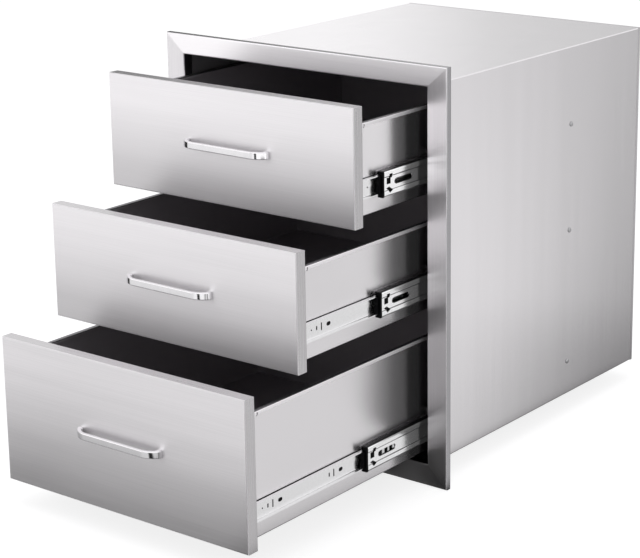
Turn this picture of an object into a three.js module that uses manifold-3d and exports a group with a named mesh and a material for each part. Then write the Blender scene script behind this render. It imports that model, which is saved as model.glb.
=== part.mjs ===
// Built-in triple drawer unit for an outdoor kitchen, folded from stainless steel sheet.
// Millimetres: +X to the right seen from the front, +Y into the cabinet, +Z up.
// The origin is the middle of the cut-out's lower front edge, where the plane behind the
// trim flange meets the underside of the housing.

import * as THREE from 'three';
import { mergeVertices } from 'three/addons/utils/BufferGeometryUtils.js';
import Module from 'manifold-3d';

const wasm = await Module();
wasm.setup();

// Fits shared by all the pieces
const seatGap = 0.3; // between two pieces that rest on each other
const holeClearance = 0.3; // round a screw or rivet in its hole
const cutOverrun = 2; // how far a cutter passes beyond the sheet

// Trim frame: a folded picture frame that overlaps the cut-out
const trimWidth = 457.2;
const trimHeight = 546.1;
const trimDepth = 9.5;
const trimSheet = 1;
const trimBendRadius = 2;
const trimSideBorder = 30.2;
const trimTopBorder = 27;
const trimBottomBorder = 29;
const trimBackFlange = 7;
const trimLipBehind = 6; // how far the opening's lip reaches behind the flange plane

// Housing: a wrapped sleeve closed by a pressed back
const housingSheet = 1;
const housingDepth = 508;
const housingBendRadius = 1.7;
const backSheet = 1;
const backFlange = 6.5;
const backBendRadius = 1.5;

// Drawer fronts: box-folded panels that sit inside the trim opening
const frontSideGap = 1.8;
const frontHeightGap = 2;
const frontThickness = 17.5;
const frontSheet = 1;
const frontBendRadius = 1.6;
const frontBackFlange = 26;
const shallowFrontHeight = 147;

// Trays: folded boxes with a turned-in rim
const traySheet = 1;
const trayBendRadius = 1.8;
const trayTopDrop = 24; // rim below the top of the front
const trayBottomRise = 9.3; // floor above the bottom of the front
const rimWidth = 6.5;
const rimTurnDown = 4;
const rimBendRadius = 1.2;
const rimBead = 0.8; // how far the rim's outside stands off the wall
const rimBeadHeight = 4.5;
const reliefNotch = { back: 13.4, width: 1.6, top: 1.6, height: 4.6 };

// Pull handles
const handleHoleSpacing = 128;
const handleProjection = 15;
const handleThickness = 4.4;
const handleFootThickness = 7;
const handleBarHeight = 8.8;
const handleFootHeight = 9.6;
const handleSlope = 45; // degrees of the sloping leg to the front
const handleBendRadius = 22; // from the bar into the leg
const handleFootBendRadius = 4; // from the leg into the foot
const handleFootRise = 2.2; // square part of the foot
const handleLegShare = 0.3; // of the way from the bar's section to the foot's, at the leg
const handleEdgeRadius = 1.2;
const handleHoleDepth = 4.5;
const screwRadius = 1.75;
const screwHeadRadius = 3.8;
const screwHeadHeight = 2.4;
const screwReach = 4; // thread inside the handle

// Telescopic slides, one pair for each drawer
const slideLength = 450;
const slideThickness = 12.5;
const slideRise = 44; // centre line above the bottom of the front
const slideFrontGap = 1; // behind a closed front
const memberSheet = 1.2;
const memberBendRadius = 1.5;
const outerHalfHeight = 21;
const middleHalfHeight = 16;
const innerHalfHeight = 11.9;
const outerFlangeWidth = 10.8;
const outerLip = 2.4;
const middleFlangeWidth = 7.8;
const middleLip = 1.8;
const innerFlangeWidth = 6.9;
const middleWebOffset = 2.4; // rails of the middle member from the housing wall
const webRecess = 0.8; // step of the middle member's web
const webHalfHeight = 8;
const webStepHeight = 1.2;
const innerShortfall = 2; // drawer member shorter than the cabinet member
const middleShortfall = 20;

// Slots of the middle member, back from its front end
const railSlot = { start: 21, length: 36.5, height: 7.5 };
const clipSlot = { start: 5.5, length: 7.9, low: -1, high: 6.9 };
const clipSlotStep = { start: 10, length: 6.3, low: 6, high: 11.3 };
const clipDiamond = [[4.9, -5.6], [10.5, -4.4], [17.3, -9.1], [11.1, -12.2]]; // its corners: back, up

// Slots of the drawer member, back from its front end, repeated along it
const innerSlotPitch = 114.4;
const innerSlotSets = 3;
const shortSlit = { centre: 27.7, width: 2.2, height: 5 };
const longSlit = { centre: 36.6, width: 2, height: 9.5 };
const ovalHole = { centre: 50, length: 8, height: 5 };

// Ball retainers
const retainerSheet = 0.6;
const outerRetainerLength = 150;
const outerRetainerStart = 118.5; // behind the cabinet member's front end, drawer closed
const outerRetainerWidth = 6.5;
const innerRetainerLength = 130;
const innerRetainerStart = 125; // behind the middle member's front end, drawer closed
const innerRetainerWidth = 4;
const ballsInRow = 3;
const ballEndMargin = 9;
const outerBallClearance = 0.3;
const innerBallClearance = 0.3;
const outerBallInset = 6; // centre of the outer balls from the housing wall
const innerBallInset = 7.4;
const retainerWindow = { length: 6.5, height: 12, pitch: 10, count: 3, margin: 5 };

// Plastic buffers clipped into the middle members
const bufferRoom = 20; // left for the buffer in front of the middle member
const bufferNose = 8;
const bufferPlate = 3.2;
const bufferTongue = 12;
const bufferTongueHalfHeight = 7.6;
const bufferThroat = 2; // depth of the hollow in the nose
const bufferFloor = 1.6; // between the nose and the drawer member's web

// Rivets that fix the cabinet members, seen on the sides of the housing
const rivetPlaceShare = 0.7; // of the cabinet member's length, from its front end
const rivetRadius = 2;
const rivetHeadRadius = 3.5;
const rivetHeadHeight = 1.5;
const rivetTailRadius = 3.2;
const rivetTailHeight = 0.6;

// How far each drawer, and the middle members that carry it, stand open
const drawerOut = [143.5, 253.5, 348.5];
const middleOut = [123.5, 130, 160.5];

// Facets
const bendSteps = 3;
const roundSteps = 8;
const handleBendSteps = 5;
const handleFootSteps = 3;
const handleEdgeSteps = 2;
const memberBendSteps = 2;
const slotEndSteps = 4;

// Places that follow from the sizes above
const openingWidth = trimWidth - 2 * trimSideBorder;
const openingHeight = trimHeight - trimTopBorder - trimBottomBorder;
const wallStack = trimSheet + seatGap + housingSheet; // lip, gap and housing wall
const openingBottom = wallStack;
const openingTop = openingBottom + openingHeight;
const trimBottom = openingBottom - trimBottomBorder;
const housingHalfWidth = openingWidth / 2 + wallStack;
const housingTop = openingTop + wallStack;
const frontHalfWidth = openingWidth / 2 - frontSideGap;
const frontBackClosed = frontThickness - trimDepth;
const slideWall = housingHalfWidth - housingSheet - seatGap;
const trayHalfWidth = slideWall - slideThickness - seatGap;
const slideStart = frontBackClosed + slideFrontGap;
const middleStart = slideStart + bufferRoom;
const rivetY = slideStart + slideLength * rivetPlaceShare;
const deepFrontHeight = openingHeight - 4 * frontHeightGap - 2 * shallowFrontHeight;

// Turns a closed three.js geometry into a solid that can be joined and cut.
function solid(geometry) {
  const bare = geometry.index ? geometry.toNonIndexed() : geometry.clone();
  for (const name of Object.keys(bare.attributes)) {
    if (name !== 'position') bare.deleteAttribute(name);
  }
  const merged = mergeVertices(bare, seatGap * 1e-4);
  return new wasm.Manifold(new wasm.Mesh({
    numProp: 3,
    vertProperties: new Float32Array(merged.attributes.position.array),
    triVerts: new Uint32Array(merged.index.array),
  }));
}

// Arc points from one angle to another, in degrees, both ends included.
function arc(centreX, centreY, radius, from, to, steps = bendSteps) {
  return Array.from({ length: steps + 1 }, (_, step) => {
    const angle = THREE.MathUtils.degToRad(from + (to - from) * step / steps);
    return [centreX + radius * Math.cos(angle), centreY + radius * Math.sin(angle)];
  });
}

// Joins rings of points into a closed body: a loop of rings, or a run with two end caps.
function loft(rings, looped) {
  const count = rings[0].length;
  const positions = [];
  const quad = (a, b, c, d) => positions.push(...a, ...b, ...c, ...a, ...c, ...d);
  const last = looped ? rings.length : rings.length - 1;
  for (let row = 0; row < last; row++) {
    const here = rings[row];
    const next = rings[(row + 1) % rings.length];
    for (let k = 0; k < count; k++) {
      const after = (k + 1) % count;
      quad(here[k], here[after], next[after], next[k]);
    }
  }
  if (!looped) {
    for (const [ring, flipped] of [[rings[0], true], [rings.at(-1), false]]) {
      for (let k = 1; k < count - 1; k++) {
        const corners = [ring[0], ring[k], ring[k + 1]];
        if (flipped) corners.reverse();
        positions.push(...corners.flat());
      }
    }
  }
  const corner = (index) => new THREE.Vector3().fromArray(positions, 3 * index);
  let volume = 0;
  for (let index = 0; index < positions.length / 3; index += 3) {
    volume += corner(index).dot(corner(index + 1).cross(corner(index + 2)));
  }
  const ordered = volume > 0 ? positions : facingOut(positions);
  const geometry = new THREE.BufferGeometry();
  geometry.setAttribute('position', new THREE.Float32BufferAttribute(ordered, 3));
  return solid(geometry);
}

// The same triangles, turned over.
function facingOut(positions) {
  const turnedOver = [];
  for (let index = 0; index < positions.length; index += 9) {
    turnedOver.push(
      ...positions.slice(index, index + 3),
      ...positions.slice(index + 6, index + 9),
      ...positions.slice(index + 3, index + 6),
    );
  }
  return turnedOver;
}

// A body with a flat section in X and Z, drawn as points, that runs along Y.
function runAlongY(points, start, length, hole) {
  const shape = new THREE.Shape(points.map(([x, z]) => new THREE.Vector2(x, z)));
  if (hole) shape.holes.push(new THREE.Path(hole.map(([x, z]) => new THREE.Vector2(x, z))));
  const geometry = new THREE.ExtrudeGeometry(shape, { depth: length, bevelEnabled: false, steps: 1 });
  geometry.rotateX(Math.PI / 2);
  geometry.translate(0, start + length, 0);
  return solid(geometry);
}

// A rectangle in X and Z with rounded corners, anticlockwise.
function roundedRectangle(halfWidth, bottom, top, radius, steps = bendSteps) {
  const right = halfWidth - radius;
  const low = bottom + radius;
  const high = top - radius;
  return [
    ...arc(right, low, radius, -90, 0, steps),
    ...arc(right, high, radius, 0, 90, steps),
    ...arc(-right, high, radius, 90, 180, steps),
    ...arc(-right, low, radius, 180, 270, steps),
  ];
}

// A box between two corners.
function block([x0, y0, z0], [x1, y1, z1]) {
  const geometry = new THREE.BoxGeometry(Math.abs(x1 - x0), Math.abs(y1 - y0), Math.abs(z1 - z0));
  geometry.translate((x0 + x1) / 2, (y0 + y1) / 2, (z0 + z1) / 2);
  return solid(geometry);
}

// A round bar along X or Y, from one place to another.
function roundBar(axis, [x, y, z], length, radius) {
  const geometry = new THREE.CylinderGeometry(radius, radius, length, roundSteps);
  if (axis === 'x') geometry.rotateZ(-Math.PI / 2);
  geometry.translate(x + (axis === 'x' ? length / 2 : 0), y + (axis === 'y' ? length / 2 : 0), z);
  return solid(geometry);
}

// A turned piece whose profile of radius and height is set along +X or along -Y.
function turned(profile, direction, [x, y, z]) {
  const points = profile.map(([radius, height]) => new THREE.Vector2(radius, height));
  const geometry = new THREE.LatheGeometry(points, roundSteps);
  if (direction === '+x') geometry.rotateZ(-Math.PI / 2);
  if (direction === '-x') geometry.rotateZ(Math.PI / 2);
  if (direction === '-y') geometry.rotateX(Math.PI);
  geometry.translate(x, y, z);
  return solid(geometry);
}

// Sheet bent along a path: the path is the middle of the sheet, with rounded corners.
function bentSheet(corners, thickness, radius) {
  const path = [];
  corners.forEach((corner, index) => {
    const here = new THREE.Vector2(...corner);
    if (index === 0 || index === corners.length - 1) {
      path.push(here);
      return;
    }
    const before = new THREE.Vector2(...corners[index - 1]).sub(here);
    const after = new THREE.Vector2(...corners[index + 1]).sub(here);
    const bend = Math.PI - Math.abs(before.clone().angleTo(after));
    const reach = Math.min(radius * Math.tan(bend / 2), before.length() / 2, after.length() / 2);
    const first = here.clone().addScaledVector(before.normalize(), reach);
    const second = here.clone().addScaledVector(after.normalize(), reach);
    const curve = new THREE.QuadraticBezierCurve(first, here, second);
    path.push(...curve.getPoints(memberBendSteps));
  });
  const side = (sign) => path.map((point, index) => {
    const back = path[Math.max(index - 1, 0)];
    const ahead = path[Math.min(index + 1, path.length - 1)];
    const incoming = point.clone().sub(back).normalize();
    const outgoing = ahead.clone().sub(point).normalize();
    const along = incoming.clone().add(outgoing).normalize();
    const cosine = Math.max(along.dot(index === 0 ? outgoing : incoming), 0.5);
    const offset = sign * thickness / 2 / cosine;
    return [point.x - along.y * offset, point.y + along.x * offset];
  });
  return [...side(1), ...side(-1).reverse()];
}

// Trim frame: one folded section mitred round the opening.
function trimFrame() {
  const outer = {
    left: -trimWidth / 2, right: trimWidth / 2, bottom: trimBottom, top: trimBottom + trimHeight,
  };
  const opening = {
    left: -openingWidth / 2, right: openingWidth / 2, bottom: openingBottom, top: openingTop,
  };
  const bend = trimBendRadius;
  const inside = trimBendRadius - trimSheet;
  // Each point is a rectangle to follow, how far it is drawn in from it, and a depth.
  const section = [
    [outer, trimBackFlange, 0],
    ...arc(bend, -bend, bend, 90, 180).map(([inset, y]) => [outer, inset, y]),
    ...arc(bend, -trimDepth + bend, bend, 180, 270).map(([inset, y]) => [outer, inset, y]),
    ...arc(-bend, -trimDepth + bend, bend, -90, 0).map(([inset, y]) => [opening, inset, y]),
    [opening, 0, trimLipBehind],
    [opening, -trimSheet, trimLipBehind],
    ...arc(-bend, -trimDepth + bend, inside, 0, -90).map(([inset, y]) => [opening, inset, y]),
    ...arc(bend, -trimDepth + bend, inside, 270, 180).map(([inset, y]) => [outer, inset, y]),
    ...arc(bend, -bend, inside, 180, 90).map(([inset, y]) => [outer, inset, y]),
    [outer, trimBackFlange, -trimSheet],
  ];
  const corners = [['right', 'bottom'], ['right', 'top'], ['left', 'top'], ['left', 'bottom']];
  const inward = { left: 1, right: -1, bottom: 1, top: -1 };
  return loft(corners.map(([across, up]) => section.map(([rectangle, inset, y]) => [
    rectangle[across] + inward[across] * inset, y, rectangle[up] + inward[up] * inset,
  ])), true);
}

// Rectangles one behind another for a box-folded pan, each drawn in by an inset.
function panRings(halfWidth, bottom, top, profile) {
  return profile.map(([inset, y]) => [
    [-halfWidth + inset, y, bottom + inset],
    [halfWidth - inset, y, bottom + inset],
    [halfWidth - inset, y, top - inset],
    [-halfWidth + inset, y, top - inset],
  ]);
}

// Housing sleeve: one sheet wrapped round, with bends along its four long edges.
function housingWrap() {
  const start = -trimDepth + trimBendRadius + seatGap;
  const end = housingDepth - backFlange - seatGap;
  const outside = roundedRectangle(housingHalfWidth, 0, housingTop, housingBendRadius);
  const inside = roundedRectangle(
    housingHalfWidth - housingSheet, housingSheet, housingTop - housingSheet,
    housingBendRadius - housingSheet,
  );
  let sleeve = runAlongY(outside, start, end - start, inside);
  for (const drawer of drawers) {
    const length = 2 * (housingHalfWidth + cutOverrun);
    sleeve = sleeve.subtract(roundBar(
      'x', [-length / 2, rivetY, drawer.slideHeight], length, rivetRadius + holeClearance,
    ));
  }
  return sleeve;
}

// Pressed back: a shallow pan whose flange is butt welded to the rear edge of the sleeve.
function housingBack() {
  const bend = backBendRadius;
  const inside = bend - backSheet;
  return loft(panRings(housingHalfWidth, 0, housingTop, [
    ...arc(bend, housingDepth - bend, inside, 90, 180).map(([inset, y]) => [inset, y]),
    [backSheet, housingDepth - backFlange],
    [0, housingDepth - backFlange],
    ...arc(bend, housingDepth - bend, bend, 180, 90).map(([inset, y]) => [inset, y]),
  ]), false);
}

// Drawer front: a pan folded back on all four sides, with a narrow flange behind.
function drawerFront({ bottom, top, out }) {
  const face = -trimDepth - out;
  const back = face + frontThickness;
  const bend = frontBendRadius;
  const inside = bend - frontSheet;
  let pan = loft(panRings(frontHalfWidth, bottom, top, [
    ...arc(bend, face + bend, bend, 270, 180),
    ...arc(bend, back - bend, bend, 180, 90),
    [frontBackFlange, back],
    [frontBackFlange, back - frontSheet],
    ...arc(bend, back - bend, inside, 90, 180),
    ...arc(bend, face + bend, inside, 180, 270),
  ]), false);
  for (const side of [-1, 1]) {
    const place = [side * handleHoleSpacing / 2, face - cutOverrun, (bottom + top) / 2];
    pan = pan.subtract(roundBar('y', place, frontSheet + 2 * cutOverrun, screwRadius + holeClearance));
  }
  return pan;
}

// Tray: a folded box. Its rim stands a little proud outside, turns in and then down.
function drawerTray({ bottom, top, out }) {
  const front = frontBackClosed - out + seatGap;
  const rear = front + slideLength;
  const floor = bottom + trayBottomRise;
  const rim = top - trayTopDrop;
  const bend = trayBendRadius;
  const edge = rimBendRadius;
  const inner = rimWidth - rimBead;
  // Each point is how far in from the wall's outside, and a height.
  const profile = [
    ...arc(bend, floor + bend, bend, 270, 180),
    [0, rim - rimBeadHeight],
    [-rimBead, rim - rimBeadHeight],
    ...arc(edge - rimBead, rim - edge, edge, 180, 90),
    ...arc(inner - edge, rim - edge, edge, 90, 0),
    [inner, rim - rimTurnDown],
    [inner - traySheet, rim - rimTurnDown],
    [inner - traySheet, rim - traySheet],
    [traySheet, rim - traySheet],
    ...arc(bend, floor + bend, bend - traySheet, 180, 270),
  ];
  let tray = loft(profile.map(([inset, z]) => [
    [-trayHalfWidth + inset, front + Math.max(inset, 0), z],
    [trayHalfWidth - inset, front + Math.max(inset, 0), z],
    [trayHalfWidth - inset, rear - inset, z],
    [-trayHalfWidth + inset, rear - inset, z],
  ]), false);
  // A relief notch below each side's rim keeps the fold from tearing.
  const notch = reliefNotch;
  for (const side of [-1, 1]) {
    tray = tray.subtract(block(
      [side * (trayHalfWidth - traySheet - cutOverrun), front + notch.back, rim - notch.top - notch.height],
      [side * (trayHalfWidth + cutOverrun), front + notch.back + notch.width, rim - notch.top],
    ).subtract(block(
      [side * (trayHalfWidth - traySheet - 2 * cutOverrun), front, rim - traySheet - seatGap],
      [side * (trayHalfWidth + 2 * cutOverrun), front + 2 * notch.back, rim + cutOverrun],
    )));
  }
  return tray;
}

// Pull handle: a flat bar bent into a shallow bow. Its legs slope back to feet that stand
// square on the front, a little taller and thicker than the bar.
function pullHandle({ bottom, top, out }) {
  const face = -trimDepth - out;
  const height = (bottom + top) / 2;
  const half = handleHoleSpacing / 2;
  const foot = face - seatGap;
  const slope = THREE.MathUtils.degToRad(handleSlope);
  const footCentre = [half - handleFootBendRadius, foot - handleFootRise];
  const barCentreY = face - handleProjection + handleThickness / 2 + handleBendRadius;
  // Both bends meet the leg at the same slope, which sets how far out the bar's bend lies.
  const rise = Math.sin(slope) * (barCentreY - footCentre[1]);
  const barCentreX = footCentre[0] + (rise + handleFootBendRadius - handleBendRadius) / Math.cos(slope);
  // Path of the bar's middle: place, direction of the bar, share of the way to the foot.
  const bend = ([x, y], radius, start, end, [startShare, endShare], steps) => (
    arc(x, y, radius, start, end, steps).map(([alongX, alongY], step) => {
      const angle = THREE.MathUtils.degToRad(start + (end - start) * step / steps);
      return {
        x: alongX, y: alongY,
        across: [Math.cos(angle), Math.sin(angle)],
        footShare: THREE.MathUtils.lerp(startShare, endShare, step / steps),
      };
    })
  );
  const barCentre = [barCentreX, barCentreY];
  const rightSide = [
    ...bend(barCentre, handleBendRadius, -90, -handleSlope, [0, handleLegShare], handleBendSteps),
    ...bend(footCentre, handleFootBendRadius, -handleSlope, 0, [handleLegShare, 1], handleFootSteps),
  ];
  rightSide.push({ x: half, y: foot, across: [1, 0], footShare: 1 });
  const leftSide = rightSide.map((point) => ({
    ...point, x: -point.x, across: [-point.across[0], point.across[1]],
  })).reverse();
  const corner = handleEdgeRadius;
  const rings = [...leftSide, ...rightSide].map(({ x, y, across, footShare }) => {
    const tall = THREE.MathUtils.lerp(handleBarHeight, handleFootHeight, footShare);
    const thick = THREE.MathUtils.lerp(handleThickness, handleFootThickness, footShare);
    const section = roundedRectangle(thick / 2, -tall / 2, tall / 2, corner, handleEdgeSteps);
    return section.map(([w, h]) => [x + across[0] * w, y + across[1] * w, height + h]);
  });
  let bar = loft(rings, false);
  for (const side of [-1, 1]) {
    const place = [side * half, foot - handleHoleDepth, height];
    bar = bar.subtract(roundBar('y', place, handleHoleDepth + cutOverrun, screwRadius + holeClearance));
  }
  return bar;
}

// Pan-head screw that holds a handle from inside the drawer front.
function handleScrew({ bottom, top, out }, side) {
  const seat = -trimDepth - out + frontSheet + seatGap;
  const shank = frontSheet + 2 * seatGap + screwReach;
  return turned([
    [0, -screwHeadHeight],
    [screwHeadRadius * Math.SQRT1_2, -screwHeadHeight],
    [screwHeadRadius, -screwHeadHeight / 2],
    [screwHeadRadius, 0],
    [screwRadius, 0],
    [screwRadius, shank],
    [0, shank],
  ], '-y', [side * handleHoleSpacing / 2, seat, (bottom + top) / 2]);
}

// A channel section for a slide member: web, two flanges and their lips.
// The first number of a point is the distance from the housing wall.
function memberSection(side, height, path) {
  const outline = bentSheet(path, memberSheet, memberBendRadius);
  return outline.map(([inset, z]) => [side * (slideWall - inset), height + z]);
}

// Box cut through a member's web, placed by its distance back from the member's front end.
function webCut(side, { start, length, low, high }, [near, far], front, height) {
  return block(
    [side * (slideWall - near), front + start, height + low],
    [side * (slideWall - far), front + start + length, height + high],
  );
}

// Cabinet member: a plain channel riveted to the housing.
function outerMember(drawer, side) {
  const web = memberSheet / 2;
  const rail = outerHalfHeight - memberSheet / 2;
  const tip = outerFlangeWidth - memberSheet / 2;
  const path = [
    [tip, rail - outerLip], [tip, rail], [web, rail],
    [web, -rail], [tip, -rail], [tip, -rail + outerLip],
  ];
  const member = runAlongY(memberSection(side, drawer.slideHeight, path), slideStart, slideLength);
  const hole = roundBar('x', [
    side * slideWall - (memberSheet + cutOverrun), rivetY, drawer.slideHeight,
  ], 2 * (memberSheet + cutOverrun), rivetRadius + holeClearance);
  return member.subtract(hole);
}

// Middle member: a channel with raised rails, a set-back web and punched slots.
function middleMember(drawer, side) {
  const front = middleStart - drawer.middleOut;
  const length = slideLength - middleShortfall;
  const web = middleWebOffset + memberSheet / 2;
  const rail = middleHalfHeight - memberSheet / 2;
  const tip = middleWebOffset + middleFlangeWidth - memberSheet / 2;
  const step = webHalfHeight + webStepHeight;
  const path = [
    [tip, rail - middleLip], [tip, rail], [web, rail],
    [web, step], [web + webRecess, webHalfHeight],
    [web + webRecess, -webHalfHeight], [web, -step],
    [web, -rail], [tip, -rail], [tip, -rail + middleLip],
  ];
  let member = runAlongY(memberSection(side, drawer.slideHeight, path), front, length);
  const through = [middleWebOffset - cutOverrun, middleWebOffset + memberSheet + webRecess + seatGap];
  for (const slot of [clipSlot, clipSlotStep]) {
    member = member.subtract(webCut(side, slot, through, front, drawer.slideHeight));
  }
  const corners = clipDiamond.map(([back, up]) => [front + back, up]);
  member = member.subtract(shapedCut(side, corners, through, drawer.slideHeight));
  return member.subtract(ovalCut(side, railSlot, through, front, drawer.slideHeight));
}

// Cutter through a member's web, with an outline in Y and Z.
function shapedCut(side, outline, [near, far], level) {
  const left = side > 0 ? slideWall - far : -slideWall + near;
  const shape = new THREE.Shape(outline.map(([y, z]) => new THREE.Vector2(y, z)));
  const geometry = new THREE.ExtrudeGeometry(shape, { depth: far - near, bevelEnabled: false, steps: 1 });
  geometry.rotateX(Math.PI / 2);
  geometry.rotateZ(Math.PI / 2);
  geometry.translate(left, 0, level);
  return solid(geometry);
}

// Cutter for a slot with round ends through a member's web.
function ovalCut(side, { start, length, height }, through, front, level) {
  const radius = height / 2;
  return shapedCut(side, [
    ...arc(front + start + length - radius, 0, radius, -90, 90, slotEndSteps),
    ...arc(front + start + radius, 0, radius, 90, 270, slotEndSteps),
  ], through, level);
}

// Drawer member: a channel opening outwards, with repeated sets of slits and a hole.
function innerMember(drawer, side) {
  const front = slideStart - drawer.out;
  const web = slideThickness - memberSheet / 2;
  const rail = innerHalfHeight - memberSheet / 2;
  const tip = slideThickness - innerFlangeWidth + memberSheet / 2;
  const path = [[tip, rail], [web, rail], [web, -rail], [tip, -rail]];
  const length = slideLength - innerShortfall;
  let member = runAlongY(memberSection(side, drawer.slideHeight, path), front, length);
  const through = [slideThickness - memberSheet - seatGap, slideThickness + cutOverrun];
  for (let set = 0; set < innerSlotSets; set++) {
    const shift = set * innerSlotPitch;
    for (const slit of [shortSlit, longSlit]) {
      member = member.subtract(webCut(side, {
        start: shift + slit.centre - slit.width / 2, length: slit.width,
        low: -slit.height / 2, high: slit.height / 2,
      }, through, front, drawer.slideHeight));
    }
    member = member.subtract(ovalCut(side, {
      start: shift + ovalHole.centre - ovalHole.length / 2, length: ovalHole.length, height: ovalHole.height,
    }, through, front, drawer.slideHeight));
  }
  return member;
}

// Ball retainer: a thin channel with a row of balls standing in each flange.
function ballRetainer(side, height, { web, flange, width, start, length, ballRadius, ballInset }) {
  const half = retainerSheet / 2;
  const path = [
    [web + width - half, flange], [web + half, flange],
    [web + half, -flange], [web + width - half, -flange],
  ];
  const outline = bentSheet(path, retainerSheet, retainerSheet);
  let strip = runAlongY(outline.map(([inset, z]) => [side * (slideWall - inset), height + z]), start, length);
  const run = length - 2 * ballEndMargin;
  for (const row of [-1, 1]) {
    for (let ball = 0; ball < ballsInRow; ball++) {
      const geometry = new THREE.IcosahedronGeometry(ballRadius);
      geometry.translate(
        side * (slideWall - ballInset),
        start + ballEndMargin + run * ball / (ballsInRow - 1),
        height + row * flange,
      );
      strip = strip.add(solid(geometry));
    }
  }
  return strip;
}

// Retainer between the cabinet member and the middle member. It rolls at half speed.
function outerBalls(drawer, side) {
  const low = middleHalfHeight;
  const high = outerHalfHeight - memberSheet;
  return ballRetainer(side, drawer.slideHeight, {
    web: memberSheet + seatGap,
    flange: (low + high) / 2,
    width: outerRetainerWidth,
    start: slideStart + outerRetainerStart - drawer.middleOut / 2,
    length: outerRetainerLength,
    ballRadius: (high - low) / 2 - outerBallClearance,
    ballInset: outerBallInset,
  });
}

// Retainer between the middle member and the drawer member, with windows in its web.
function innerBalls(drawer, side) {
  const low = innerHalfHeight;
  const high = middleHalfHeight - memberSheet;
  const web = middleWebOffset + memberSheet + webRecess + seatGap;
  const start = middleStart + innerRetainerStart - (drawer.out + drawer.middleOut) / 2;
  let strip = ballRetainer(side, drawer.slideHeight, {
    web,
    flange: (low + high) / 2,
    width: innerRetainerWidth,
    start,
    length: innerRetainerLength,
    ballRadius: (high - low) / 2 - innerBallClearance,
    ballInset: innerBallInset,
  });
  const through = [web - seatGap, web + retainerSheet + seatGap];
  for (let window = 0; window < retainerWindow.count; window++) {
    strip = strip.subtract(webCut(side, {
      start: retainerWindow.margin + window * retainerWindow.pitch, length: retainerWindow.length,
      low: -retainerWindow.height / 2, high: retainerWindow.height / 2,
    }, through, start, drawer.slideHeight));
  }
  return strip;
}

// Plastic buffer: a nose inside the drawer member, a plate across the end of the middle
// member with two ears, and a tongue clipped behind the web through its slots.
function slideBuffer(drawer, side) {
  const front = middleStart - drawer.middleOut;
  const height = drawer.slideHeight;
  const behindWeb = middleWebOffset + memberSheet + webRecess + seatGap;
  const noseHalf = innerHalfHeight - memberSheet - seatGap;
  const noseDeep = slideThickness - memberSheet - bufferFloor;
  const earStart = innerHalfHeight + seatGap;
  const piece = (near, far, y0, y1, low, high) => block(
    [side * (slideWall - near), y0, height + low], [side * (slideWall - far), y1, height + high],
  );
  const plateBack = front - seatGap;
  const plateFront = plateBack - bufferPlate;
  const plateDeep = slideThickness - innerFlangeWidth - seatGap;
  let buffer = piece(behindWeb, noseDeep, front - bufferNose + seatGap, plateBack, -noseHalf, noseHalf)
    .add(piece(middleWebOffset, plateDeep, plateFront, plateBack, -middleHalfHeight, middleHalfHeight))
    .add(piece(behindWeb, plateDeep, plateBack - seatGap, front + bufferTongue,
      -bufferTongueHalfHeight, bufferTongueHalfHeight));
  for (const end of [-1, 1]) {
    const ear = [end * earStart, end * middleHalfHeight].sort((a, b) => a - b);
    buffer = buffer.add(piece(
      middleWebOffset, middleWebOffset + middleFlangeWidth, plateFront, plateBack, ear[0], ear[1],
    ));
  }
  buffer = buffer.add(piece(
    middleWebOffset + webRecess, behindWeb + seatGap,
    front + clipSlot.start + seatGap, front + bufferTongue,
    clipSlot.low + seatGap, clipSlotStep.low,
  ));
  // The hollow front of the nose catches the drawer member's stop.
  const hollow = roundBar('x', [
    side > 0 ? slideWall - noseDeep - cutOverrun : -slideWall + behindWeb - cutOverrun,
    front - bufferNose + seatGap - noseHalf + bufferThroat, height,
  ], noseDeep - behindWeb + 2 * cutOverrun, noseHalf);
  return buffer.subtract(hollow);
}

// Rivet through the housing wall and the cabinet member, with its domed head outside.
function sideRivet(drawer, side) {
  const stack = housingSheet + seatGap + memberSheet;
  return turned([
    [0, -stack - seatGap - rivetTailHeight],
    [rivetTailRadius, -stack - seatGap - rivetTailHeight],
    [rivetTailRadius, -stack - seatGap],
    [rivetRadius, -stack - seatGap],
    [rivetRadius, seatGap],
    [rivetHeadRadius, seatGap],
    [rivetHeadRadius * Math.cos(Math.PI / 6), seatGap + rivetHeadHeight / 2],
    [rivetHeadRadius / 2, seatGap + rivetHeadHeight * Math.sin(Math.PI / 3)],
    [0, seatGap + rivetHeadHeight],
  ], side > 0 ? '+x' : '-x', [side * housingHalfWidth, rivetY, drawer.slideHeight]);
}

// The three drawers, from the top down.
const frontHeights = [shallowFrontHeight, shallowFrontHeight, deepFrontHeight];
const drawers = ['upper', 'centre', 'lower'].map((name, index) => {
  const above = frontHeights.slice(0, index).reduce((sum, height) => sum + height, 0);
  const top = openingTop - (index + 1) * frontHeightGap - above;
  const bottom = top - frontHeights[index];
  return {
    name, top, bottom, slideHeight: bottom + slideRise,
    out: drawerOut[index], middleOut: middleOut[index],
  };
});

const finishes = {
  brushedSheet: { color: 0xc9c8cc, roughness: 0.36, metalness: 1 },
  trayWall: { color: 0xbfbec2, roughness: 0.38, metalness: 1 },
  chrome: { color: 0xe8e8ea, roughness: 0.08, metalness: 1 },
  zinc: { color: 0xd4d5d8, roughness: 0.3, metalness: 0.9 },
  plastic: { color: 0x141416, roughness: 0.5, metalness: 0 },
  screwSteel: { color: 0xb0b0b2, roughness: 0.4, metalness: 1 },
};

const unit = new THREE.Group();

// Adds one piece to the unit as its own mesh with its own material.
function place(name, body, finish) {
  const { vertProperties, triVerts } = body.getMesh();
  const geometry = new THREE.BufferGeometry();
  geometry.setAttribute('position', new THREE.Float32BufferAttribute(vertProperties, 3));
  geometry.setIndex(new THREE.Uint32BufferAttribute(triVerts, 1));
  const flat = geometry.toNonIndexed();
  flat.computeVertexNormals();
  const mesh = new THREE.Mesh(flat, new THREE.MeshStandardMaterial(finishes[finish]));
  mesh.name = name;
  unit.add(mesh);
}

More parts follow.
